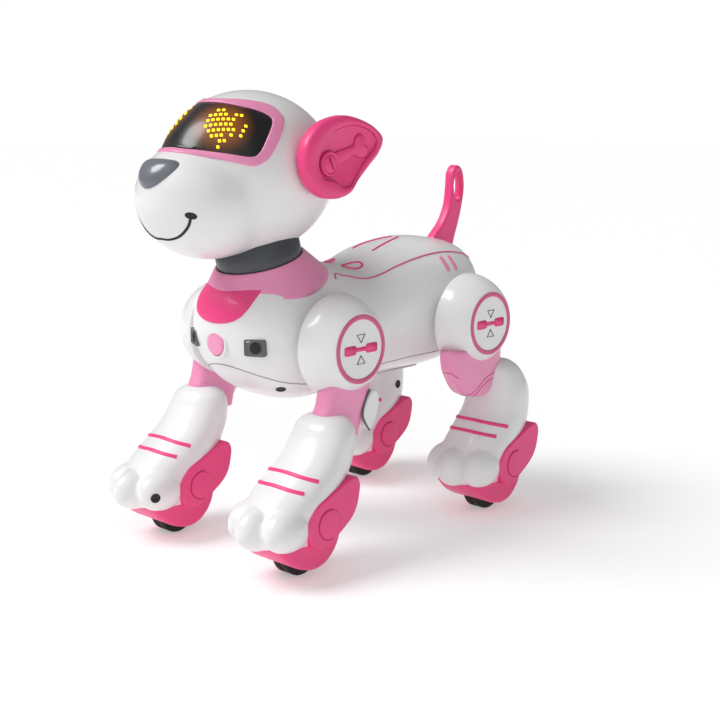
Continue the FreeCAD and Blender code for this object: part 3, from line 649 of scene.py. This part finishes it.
# ---------------------------------------------------------------- torso
# Rows of the body: (place along Y, half width, bottom, top).
TORSO = [(-84.2, 5, 131, 139), (-83.2, 12, 127, 143), (-80, 22, 117, 151), (-72, 33, 104, 159),
         (-58, 41.5, 93, 166), (-36, 45.2, 86.5, 169), (-12, 44.5, 87.5, 167),
         (16, 40, 89.5, 162), (45, 40, 90.5, 171), (75, 43, 91, 174.5), (98, 41, 94, 172),
         (112, 34, 103, 168), (122, 23, 116, 160), (127, 12, 128, 149), (127.9, 5, 133, 144)]
SIDE_LINE = [(36, -18, 163.4), (31, -14, 166.2), (31, -10, 163.4), (30.5, -3, 162.2),
             (30, 10.5, 160), (30, 23.7, 160.4), (30, 37.3, 162.6), (30, 58, 165.6),
             (30, 75, 166.4), (29, 96, 165), (24, 112, 158), (12, 120, 155)]
BELLY_LINE = [(0, -81, 110), (8, -80, 109.6), (18, -76, 107.6), (28, -68, 103.6),
              (34, -60, 99.5), (38, -52, 97), (42, -30, 96.5), (42, 0, 96.5), (38, 40, 97),
              (40, 75, 98), (36, 104, 103), (24, 120, 112), (0, 127, 118)]
BIB = [(0, 164), (11, 164), (22, 163), (23, 155), (21.8, 147), (17.6, 141.2), (10, 138),
       (0, 137)]


def make_torso():
    rows = curved_rows(np.array(TORSO, float), 4)
    body = rings([oval_loop((0, y, (low + high) / 2), (half, 0, 0), (0, 0, (high - low) / 2),
                            2.3) for y, half, low, high in rows])
    axis = Vector(NECK_AXIS)
    side, other = Vector((1, 0, 0)), Vector((0, math.cos(TILT), math.sin(TILT)))
    turns = np.arange(64) * (2 * math.pi / 64)
    yoke = rings([[Vector(NECK_BASE) + axis * height + side * (radius * math.cos(a))
                   + other * (radius * math.sin(a)) for a in turns]
                  for height, radius in ((-30, 43.5), (-16, 39.2), (-9, 36.4))])
    skin = blended("body_skin", [body, yoke], 1.5, 8, WHITE)
    fit(skin, "torso", "white_shell", "torso_shell", "back_cover", "belly_shell")
    tree = surface(skin)
    for side in (1, -1):
        flank = "left" if side > 0 else "right"
        line = [nearest(tree, (side * x, y, z), 0.0) for x, y, z in
                curved(SIDE_LINE, 160, closed=False)]
        fit(tube("back_edge_" + flank, line, 0.55, EDGE_PINK), "torso", "light_pink")
        line = [nearest(tree, (side * x, y, z), -0.1) for x, y, z in
                curved(BELLY_LINE, 160, closed=False)]
        fit(tube("belly_seam_" + flank, line, 0.4, LINE_GREY), "torso", "sensor_grey")
    make_bib(tree)
    make_back_marks(tree)
    make_sensors(tree)
    make_screw_holes(tree)
    make_door(tree)


def make_bib(tree):
    loop = curved(BIB + [(-x, z) for x, z in reversed(BIB) if x > 0], 160)
    bib = sheet_over("chest_bib", loop, lambda p: cast(tree, (p[0], -140, p[1]), (0, 1, 0), 0.7),
                     1.6, HOT_PINK)
    fit(thick(bib, 1.2, 0.4), "torso", "hot_pink", "chest_plate")


def on_back(tree, x, y, lift=0.0):
    return cast(tree, (x, y, 260), (0, 0, -1), lift)


def make_back_marks(tree):
    """The oval inlay, the long slash and the two slots on each side of the back."""
    for side in (1, -1):
        flank = "left" if side > 0 else "right"
        turns = np.arange(48) * (math.pi / 24)
        oval = [on_back(tree, side * (12 + 4.6 * math.cos(a)), 16 + 7.5 * math.sin(a), 0.0)
                for a in turns]
        fit(tube("back_oval_" + flank, oval, 0.75, HOT_PINK, closed=True), "torso", "hot_pink")
        slash = curved([(8.5, 38), (8, 45), (6, 56), (3, 68)], 60, closed=False)
        fit(tube("back_slash_" + flank, [on_back(tree, side * x, y) for x, y in slash], 0.7,
                 HOT_PINK), "torso", "hot_pink")
        for index, start in enumerate((72.4, 80.3)):
            loop = oval_loop((0, 0), (1.9, 0), (0, 6.4), 3, 40)
            lean = np.array([(start + 3.5 + u - v * 0.12, 159.2 + v + u * 0.3)
                             for u, v in loop])
            slot = sheet_over("flank_slot_%s_%d" % (flank, index), lean,
                              lambda p: cast(tree, (side * 90, p[0], p[1] + 30), (-side, 0, -0.55),
                                             0.3), 0.9, LIGHT_PINK)
            fit(thick(slot, 0.8, 0.2), "torso", "light_pink")


def make_sensors(tree):
    """Two infra-red windows: a rounded plate, a sunk panel and a dark lens in a ring."""
    for side in (1, -1):
        flank = "left" if side > 0 else "right"
        turn = Matrix.Rotation(math.radians(25 * side), 3, "Z")
        base = cast(tree, (side * 26, -140, 125), (0, 1, 0), 0.2)

        def at(x, y, z):
            return base + turn @ Vector((x, y, z))

        plate = [oval_loop((0, 0), (w, 0), (0, h), 9, 48) for w, h in
                 ((6.5, 4.9), (6.5, 4.9), (6.2, 4.6), (5.4, 3.9), (5.2, 3.7))]
        depths = (4, -0.6, -0.9, -0.9, -0.5)
        window = piece("sensor_plate_" + flank, *rings(
            [[at(u, d, v) for u, v in loop] for loop, d in zip(plate, depths)]), SENSOR_GREY)
        outward = turn @ Vector((0, -1, 0))
        lens = lathe("sensor_lens_" + flank, [(-1, 3.2), (0.7, 3.2), (0.9, 3.0), (0.9, 2.5),
                                              (0.6, 2.3), (0.9, 1.8), (1.2, 1.0), (1.3, 0.02)],
                     at(0.3, 0, 0), outward, DARK, 48)
        fit(window, "torso", "sensor_grey", *(["ir_sensors"] if side > 0 else []))
        fit(lens, "torso", "black_plastic")


def dark_hole(name, found, normal, radius):
    """A screw's counterbore: a dark disc in a thin raised rim; the dark disc is painted shade standing
    for the hole's depth.
    """
    return lathe(name, [(-1.5, radius), (0.1, radius), (0.22, radius - 0.2), (0.22, radius - 0.45),
                        (0.06, radius - 0.6), (0.06, 0.02)], found, normal, DARK, 40)


def make_screw_holes(tree):
    for side in (1, -1):
        for number, (spot, way) in enumerate((((25, -56.7, 60), (0, 0, 1)),
                                              ((90, 12.6, 102.8), (-1, 0, 0)),
                                              ((25, 96, 60), (0, 0, 1)))):
            start = Vector((side * spot[0], spot[1], spot[2]))
            way = Vector((side * way[0], way[1], way[2]))
            found, normal, _, _ = tree.ray_cast(start, way)
            hole = dark_hole("body_hole_%d_%s" % (number, "left" if side > 0 else "right"),
                             found, normal, 3.0)
            fit(hole, "torso", "black_plastic",
                *(["body_screws"] if side > 0 and number == 0 else []))


def make_door(tree):
    """The battery door: a panel that lies in the belly's surface, in a thin grey gap."""
    def below(spot, lift):
        return cast(tree, (spot[0], spot[1], 40), (0, 0, 1), lift)

    loop = oval_loop((0, 45), (15, 0), (0, 31), 9, 96)
    panel = sheet_over("battery_panel", loop, lambda p: below(p, 0.35), 2.0, WHITE)
    fit(thick(panel, 0.8, 0.25), "torso", "white_shell", "battery_door")
    rim = oval_loop((0, 45), (15.5, 0), (0, 31.5), 9, 120)
    gap = tube("battery_gap", [below(p, 0.05) for p in rim], 0.35, LINE_GREY, closed=True)
    fit(gap, "torso", "sensor_grey")


BUTTON_MIDDLE = (0, 0, 125)


def make_button():
    button = lathe("button_cap", [(77, 0.02), (77, 8), (78.2, 8), (78.2, 6.8), (83.4, 6.8),
                                  (83.9, 6.5), (84.15, 5.8), (84.2, 4.5), (84.2, 0.02)],
                   BUTTON_MIDDLE, (0, -1, 0), LIGHT_PINK)
    fit(button, "chest_button", "light_pink", "chest_button")
    ring = ring_lathe("button_surround", [(78.7, 7.2), (83.2, 7.2), (83.6, 7.5), (83.6, 8.3),
                                          (83.2, 8.75), (78.7, 8.8)], BUTTON_MIDDLE, (0, -1, 0),
                      WHITE)
    fit(ring, "torso", "white_shell", "button_bezel")


# ---------------------------------------------------------------- tail and flat parts
TAIL = [(126.8, 217.6), (122, 213), (120.9, 203), (118.8, 191), (112.8, 180.5), (102, 169.5),
        (105, 160), (119, 158), (125.6, 172), (131.4, 188), (134.2, 203), (132.2, 214)]
TAIL_SLOT = [(127, 213), (123.6, 205), (126.2, 195), (130.6, 196), (131.6, 205), (130, 212)]


def cutout(name, outline, holes, low, high, round_by, material):
    """A flat part with rounded rims, its outline in the (y, z) plane, between two X planes."""
    flat = bpy.data.curves.new(name, "CURVE")
    flat.dimensions = "2D"
    flat.fill_mode = "BOTH"
    flat.extrude = ((high - low) / 2 - round_by) * MM
    flat.bevel_depth = round_by * MM
    flat.bevel_resolution = 3
    flat.offset = -round_by * MM
    for loop in [outline] + list(holes):
        spline = flat.splines.new("POLY")
        spline.points.add(len(loop) - 1)
        for point, (u, v) in zip(spline.points, loop):
            point.co = (u * MM, v * MM, 0, 1)
        spline.use_cyclic_u = True
    obj = bpy.data.objects.new(name, flat)
    bpy.context.scene.collection.objects.link(obj)
    graph = bpy.context.evaluated_depsgraph_get()
    mesh = bpy.data.meshes.new_from_object(obj.evaluated_get(graph))
    bpy.data.objects.remove(obj)
    for vertex in mesh.vertices:
        u, v, w = vertex.co
        vertex.co = ((low + high) / 2 * MM + w, u, v)
    obj = from_mesh(name, mesh, material)
    obj.data.set_sharp_from_angle(angle=math.radians(40))
    return obj


def make_tail():
    tail = cutout("tail_blade", curved(TAIL, 140), [curved(TAIL_SLOT, 60)], -3.5, 3.5, 1.5,
                  HOT_PINK)
    fit(tail, "torso", "hot_pink", "tail")


# ---------------------------------------------------------------- legs
# Rows of a limb: (height, front and back from its middle, half width).
CALF = {"front": [(19, -22, 10, 14), (22, -29, 14, 18), (27, -34, 19, 21), (36, -33, 23, 22),
                  (46, -27, 28, 22), (56, -14, 33, 21.5), (66, -1, 37, 20.5), (76, 7, 38, 19.5),
                  (83, 11, 37, 17), (87, 16, 33, 11), (88, 20, 30, 6)],
        "rear": [(19, -22, 8, 14), (22, -29, 12, 18), (27, -34, 17, 21), (36, -33, 22, 22),
                 (46, -27, 27, 22), (56, -17, 32, 21.5), (66, -8, 33.5, 20.5),
                 (78, -4, 33, 19.5), (90, -2, 27, 15.5), (95.4, 2, 21, 9.5), (96.6, 6, 17, 5)]}
THIGH = {"front": [(72, -12, 7, 5.6), (80, -20.5, 8.5, 7.2), (87, -22.8, 11, 8), (94, -20, 15, 8.2),
                   (108, -17, 17, 8.2)],
         "rear": [(76.4, -4, 6, 5), (78, -12, 10, 6.4), (82, -19, 14.6, 7.6), (91, -25.4, 19.6, 8.2),
                  (98, -29, 21.4, 8.2), (108, -30, 22, 8.2)]}
THIGH_HALF = 8.2
KNEE_GUARD = [(-17, 96.6), (-21, 97.4), (-25, 93), (-27.8, 87), (-27.4, 82), (-22.8, 75),
              (-18.4, 80), (-15.8, 87), (-15.2, 92.4)]
GUARD_LINE = [(-22.5, 98.4), (-25.8, 93.6), (-28.4, 87), (-28, 81.4), (-23, 74.4)]
CHEEK = [(-4, 19.8), (-10, 25), (-11.9, 34), (-5.2, 43.4), (4, 48), (11.9, 51.2), (20, 54.6),
         (26, 55.2), (29, 51), (28.4, 44), (26.2, 37), (21.4, 31), (11, 24), (4, 20.4)]
SOLE = [(-27, 22), (-22, 15.5), (-16, 11), (-8, 7.2), (1, 5.6), (10, 8.6), (17.5, 17),
        (19, 27), (6, 30), (-14, 27), (-24, 25)]
WHEEL_Y = {"front": -74.7, "rear": 94.0}
HUB_Y = {"front": -34.2, "rear": 83.4}
# Calf stripes: (distance of their axis behind the wheel, height at the ends, in the middle, reach).
STRIPES = ((12, 57.0, 60.5, 57.5), (0, 51.9, 54.5, 61))
LEG_X = 54.4
HUB_Z = 123.7
WHEEL_Z = 13


def make_hub(pair, flank, side, leg):
    centre, axis = (0, HUB_Y[pair], HUB_Z), (side, 0, 0)
    dome = [(44.7 + 30 * math.sin(a), 30 * math.cos(a)) for a in np.radians(np.linspace(4, 45.5, 22))]
    profile = ([(46.2, 0.02), (46.2, 29.2), (46.4, 29.7)] + dome
               + [(66.5, 20.55), (66.75, 20.1), (66.8, 19.6), (66.5, 19.45), (66.4, 18.5),
                  (66.5, 17.65), (66.8, 17.5), (66.8, 16.8), (66.8, 0.02)])
    cover = lathe("%s_%s_shoulder" % (pair, flank), profile, centre, axis, WHITE, 128)
    fit(cover, leg, "white_shell", "%s_%s_hub_cover" % (pair, flank))
    ring = ring_lathe("%s_%s_trim_ring" % (pair, flank),
                      [(66.2, 16.9), (67.1, 16.9), (67.4, 17.3), (67.4, 19.2), (67.1, 19.6),
                       (66.2, 19.6)], centre, axis, EDGE_PINK)
    fit(ring, leg, "light_pink", "%s_%s_hub_ring" % (pair, flank))
    y, z = HUB_Y[pair], HUB_Z
    x = side * 66.9
    bone = []
    for offset, half_length, half_height, lift in ((-8.6, 4.7, 2.7, 0.15), (8.6, 4.7, 2.7, 0.15),
                                                   (0, 6, 1.2, 0.08)):
        loop = oval_loop((x, y + offset, z), (0, half_length, 0), (0, 0, half_height), 5, 32)
        bone.append(piece("%s_%s_bone_%d" % (pair, flank, offset), *rings(
            [loop - [side * 0.3, 0, 0], loop + [side * lift, 0, 0]]), HOT_PINK))
    for item in bone:
        fit(item, leg, "hot_pink")
    for way in (1, -1):
        corners = [(x, y - 3.2, z + way * 8.3), (x, y + 3.2, z + way * 8.3),
                   (x, y, z + way * 3.7)]
        mark = tube("%s_%s_arrow_%d" % (pair, flank, way), corners, 0.3, DARK, closed=True)
        fit(mark, leg, "black_plastic")


def limb(rows, centre, squareness, factor=4):
    return rings([oval_loop((centre[0], centre[1] + (front + back) / 2, z), (half, 0, 0),
                            (0, (back - front) / 2, 0), squareness, 72)
                  for z, front, back, half in curved_rows(np.array(rows, float), factor)])


def make_leg(pair, flank, side):
    name, leg = "%s_%s_" % (pair, flank), "%s_%s_leg" % (pair, flank)
    x, y = side * LEG_X, WHEEL_Y[pair]
    make_hub(pair, flank, side, leg)
    toes = [ball((x + across * 14.0, y - 19.5 - ahead * 8, 32.4), (10.0, 16 - ahead, 12.3))
            for across, ahead in ((-1, 0), (0, 1), (1, 0))]
    paw = blended(name + "paw", [limb(CALF[pair], (x, y), 2.2)] + toes, 1.0, 12, WHITE)
    fit(paw, leg, "white_shell", name + "calf_outer", name + "calf_inner")
    hip = side * (46.2 + 0.4 + THIGH_HALF)
    thigh = piece(name + "upper", *limb(THIGH[pair], (hip, HUB_Y[pair]), 3.4), LIGHT_PINK)
    fit(thigh, leg, "light_pink", name + "thigh")
    make_knee(pair, name, leg, side, thigh)
    tree = surface(paw)
    for index, (axis_y, end_z, mid_z, reach) in enumerate(STRIPES):
        line = []
        for angle in np.linspace(-reach, reach, 60):
            z = mid_z - (mid_z - end_z) * (angle / reach) ** 2
            a = math.radians(angle)
            start = Vector((x, y + axis_y, z))
            way = Vector((math.sin(a), -math.cos(a), 0))
            line.append(cast(tree, start + way * 60, -way, -0.9))
        fit(tube(name + "stripe_%d" % index, line, 1.6, HOT_PINK), leg, "hot_pink")
    make_foot(name, leg, side, x, y)
    hole_y, hole_z = {"front": (-29.4, 31.3), "rear": (16.2, 65.6)}[pair]
    way = Vector((side, 0, 0))
    found, normal, _, _ = tree.ray_cast(Vector((x, y + hole_y, hole_z)) - way * 60, way)
    fit(dark_hole(name + "screw_hole", found, normal, 2.9), leg, "black_plastic")


def make_knee(pair, name, leg, side, thigh):
    """The white guard behind a front knee, or the stepped edge round a rear one."""
    if pair == "front":
        low, high = sorted((side * 57.0, side * 63.6))
        guard = cutout(name + "knee_guard", curved(KNEE_GUARD, 80), [], low, high, 1.2, WHITE)
        fit(guard, leg, "white_shell")
        line = [(side * 62.9, y, z) for y, z in curved(GUARD_LINE, 50, closed=False)]
        fit(tube(name + "knee_line", line, 0.6, SENSOR_GREY), leg, "sensor_grey")
        return
    tree = surface(thigh)
    for index, drop in enumerate((0, 3.4)):
        loop = []
        for angle in np.linspace(-100, 215, 90):
            a = math.radians(angle)
            height = 84.5 + 6.5 * math.sin(a) - drop
            way = Vector((side * math.cos(a), math.sin(a), 0))
            middle = Vector((side * 54.8, HUB_Y[pair] - 4, height))
            loop.append(cast(tree, middle + way * 60, -way, -0.1))
        fit(tube(name + "cuff_line_%d" % index, loop, 0.4, EDGE_PINK), leg, "light_pink")


def make_foot(name, leg, side, x, y):
    sole = cutout(name + "sole_pad", curved([(y + u, v) for u, v in SOLE], 120), [],
                  x - 17.5, x + 17.5, 3.4, HOT_PINK)
    fit(sole, leg, "hot_pink", name + "sole")
    outline = curved([(y + u, v) for u, v in CHEEK], 120)
    for way in (1, -1):
        low, high = sorted((x + way * 15.0, x + way * 23.1))
        cheek = cutout(name + "cheek_%s" % ("outer" if way == side else "inner"), outline, [],
                       low, high, 1.2, HOT_PINK)
        fit(cheek, leg, "hot_pink")
        disc = lathe(name + "cheek_disc_%s" % ("outer" if way == side else "inner"),
                     [(22.4, 0.02), (22.4, 8.4), (23.2, 8.4), (23.5, 8.1), (23.6, 7.6),
                      (23.6, 0.02)], (x, y + 4.7, 32.3), (way, 0, 0), HOT_PINK, 64)
        fit(disc, leg, "hot_pink")
        # A deep pink arc round the front of the raised disc: painted shadow at the disc's rim.
        turns = np.radians(np.linspace(75, 285, 40))
        edge = [(x + way * 23.15, y + 4.7 + 8.6 * math.cos(a), 32.3 + 8.6 * math.sin(a))
                for a in turns]
        fit(tube(name + "cheek_line_%s" % ("outer" if way == side else "inner"), edge, 0.35,
                 PINK_GROOVE_SHADE), leg, "hot_pink")
    wheel = lathe(name + "roller", [(-6, 1.6), (-6, 11.6), (-5.6, 12.5), (-4.8, 13), (-1.2, 13),
                                    (-0.9, 12.5), (0.9, 12.5), (1.2, 13), (4.8, 13),
                                    (5.6, 12.5), (6, 11.6), (6, 1.6)], (x, y, WHEEL_Z), (1, 0, 0),
                  RUBBER, 96)
    fit(wheel, name + "wheel", "wheel_black", name + "wheel")


# ---------------------------------------------------------------- CAD pieces that stay
STAYING = {"head_screws": STEEL, "main_board": BOARD, "battery_pack": WRAP, "speaker": DARK,
           "leg_servos": DARK, "neck_servo": DARK, "power_switch": DARK}


def dress_frame():
    for name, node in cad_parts.items():
        material = STEEL if name.endswith("_axle") else STAYING.get(name)
        if material:
            node.data.materials.clear()
            node.data.materials.append(material)


# ---------------------------------------------------------------- stage
FLOOR_HALF = 6000
CAMERA_AZIMUTH, CAMERA_HEIGHT = math.radians(43.4), math.radians(11.34)
CAMERA_PLACE = (0.5611, -0.5577, 0.262)
CAMERA_LENS = 65.55
AMBIENT, BACKDROP = 0.27, 1.0


def make_stage():
    half = FLOOR_HALF
    floor = piece("floor", [(-half, -half, 0), (half, -half, 0), (half, half, 0),
                            (-half, half, 0)], [(0, 1, 2, 3)],
                  plastic("floor_paper", (218, 218, 218), 0.9, 0.0, grain=0.0, fleck=0.005,
                          glow=0.5))
    world = bpy.data.worlds.new("studio")
    world.use_nodes = True
    nodes, links = world.node_tree.nodes, world.node_tree.links
    seen = nodes.new("ShaderNodeLightPath")
    strength = nodes.new("ShaderNodeMapRange")
    strength.inputs["To Min"].default_value, strength.inputs["To Max"].default_value = AMBIENT, BACKDROP
    nodes["Background"].inputs["Color"].default_value = (1, 1, 1, 1)
    links.new(seen.outputs["Is Camera Ray"], strength.inputs["Value"])
    links.new(strength.outputs["Result"], nodes["Background"].inputs["Strength"])
    bpy.context.scene.world = world
    bpy.context.scene.view_settings.view_transform = "Standard"
    for name, way, spread, power in (("key", (-0.6, -0.8, 1.25), 32, 2.35),
                                     ("fill", (0.9, -0.9, 0.8), 70, 0.5)):
        lamp = bpy.data.lights.new(name, "SUN")
        lamp.angle = math.radians(spread)
        lamp.energy = power
        obj = bpy.data.objects.new(name, lamp)
        obj.location = way
        obj.rotation_euler = (-Vector(way)).to_track_quat("-Z", "Y").to_euler()
        bpy.context.scene.collection.objects.link(obj)
    view = bpy.data.cameras.new("camera")
    view.lens, view.sensor_width = CAMERA_LENS, 36
    camera = bpy.data.objects.new("camera", view)
    azimuth, height = CAMERA_AZIMUTH, CAMERA_HEIGHT
    back = Vector((math.sin(azimuth) * math.cos(height), -math.cos(azimuth) * math.cos(height),
                   math.sin(height)))
    camera.location = CAMERA_PLACE
    camera.rotation_euler = (-back).to_track_quat("-Z", "Y").to_euler()
    bpy.context.scene.collection.objects.link(camera)
    bpy.context.scene.camera = camera


make_head()
make_ears()
make_neck()
make_torso()
make_button()
make_tail()
for pair in ("front", "rear"):
    for flank, side in (("left", 1), ("right", -1)):
        make_leg(pair, flank, side)
dress_frame()
make_stage()
